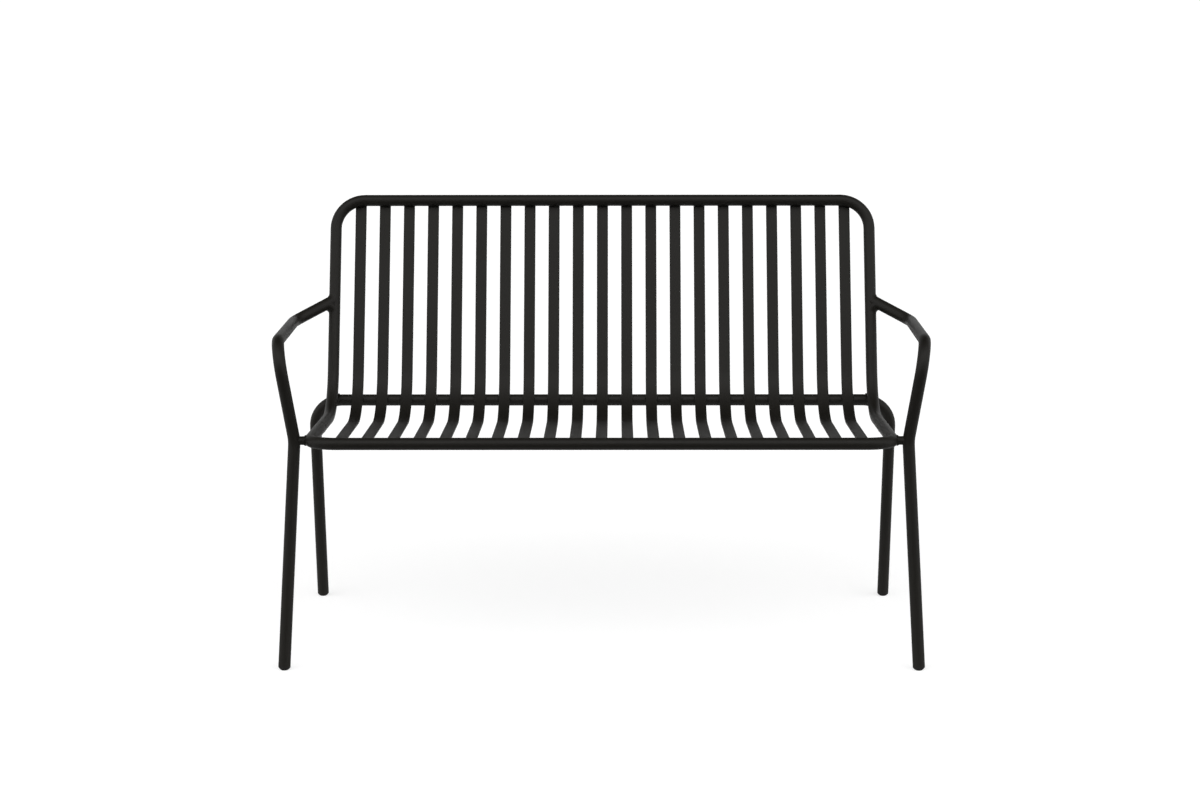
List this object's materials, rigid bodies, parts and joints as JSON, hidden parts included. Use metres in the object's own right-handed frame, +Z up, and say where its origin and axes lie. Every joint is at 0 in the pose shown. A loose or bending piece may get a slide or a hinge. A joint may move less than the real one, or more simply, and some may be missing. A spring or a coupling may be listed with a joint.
{
  "type": "garden sofa",
  "caption": "Garden sofa of bent round steel tube, with flat steel slats from the front rail up to the top rail, open tube armrests and plastic foot glides.",
  "frame": {"origin": "on the floor, in the middle of the outline from left to right and from front to back", "axes": "+X to the right as seen from the front, +Y towards the back of the seat, +Z up"},
  "size_m": [1.395, 0.6882, 0.9176],
  "materials": {
    "coated_tube": "fine-textured matt black powder coat on steel tube",
    "coated_flat_bar": "fine-textured matt black powder coat on flat steel bar",
    "coated_weld": "fine-textured matt black powder coat over fillet welds",
    "glide_plastic": "matt black moulded plastic"
  },
  "bodies": {
    "root": {"seat_frame_tube": "coated_tube", "back_frame_tube": "coated_tube", "rear_leg_hoop": "coated_tube", "slat_01": "coated_flat_bar", "slat_02": "coated_flat_bar", "slat_03": "coated_flat_bar", "slat_04": "coated_flat_bar", "slat_05": "coated_flat_bar", "slat_06": "coated_flat_bar", "slat_07": "coated_flat_bar", "slat_08": "coated_flat_bar", "slat_09": "coated_flat_bar", "slat_10": "coated_flat_bar", "slat_11": "coated_flat_bar", "slat_12": "coated_flat_bar", "slat_13": "coated_flat_bar", "slat_14": "coated_flat_bar", "slat_15": "coated_flat_bar", "slat_16": "coated_flat_bar", "slat_17": "coated_flat_bar", "slat_18": "coated_flat_bar", "slat_19": "coated_flat_bar", "slat_20": "coated_flat_bar", "slat_21": "coated_flat_bar", "left_leg_and_armrest": "coated_tube", "left_arm_weld": "coated_weld", "left_leg_spool": "coated_weld", "front_left_glide": "glide_plastic", "rear_left_glide": "glide_plastic", "right_leg_and_armrest": "coated_tube", "right_arm_weld": "coated_weld", "right_leg_spool": "coated_weld", "front_right_glide": "glide_plastic", "rear_right_glide": "glide_plastic"}
  },
  "joints": []
}
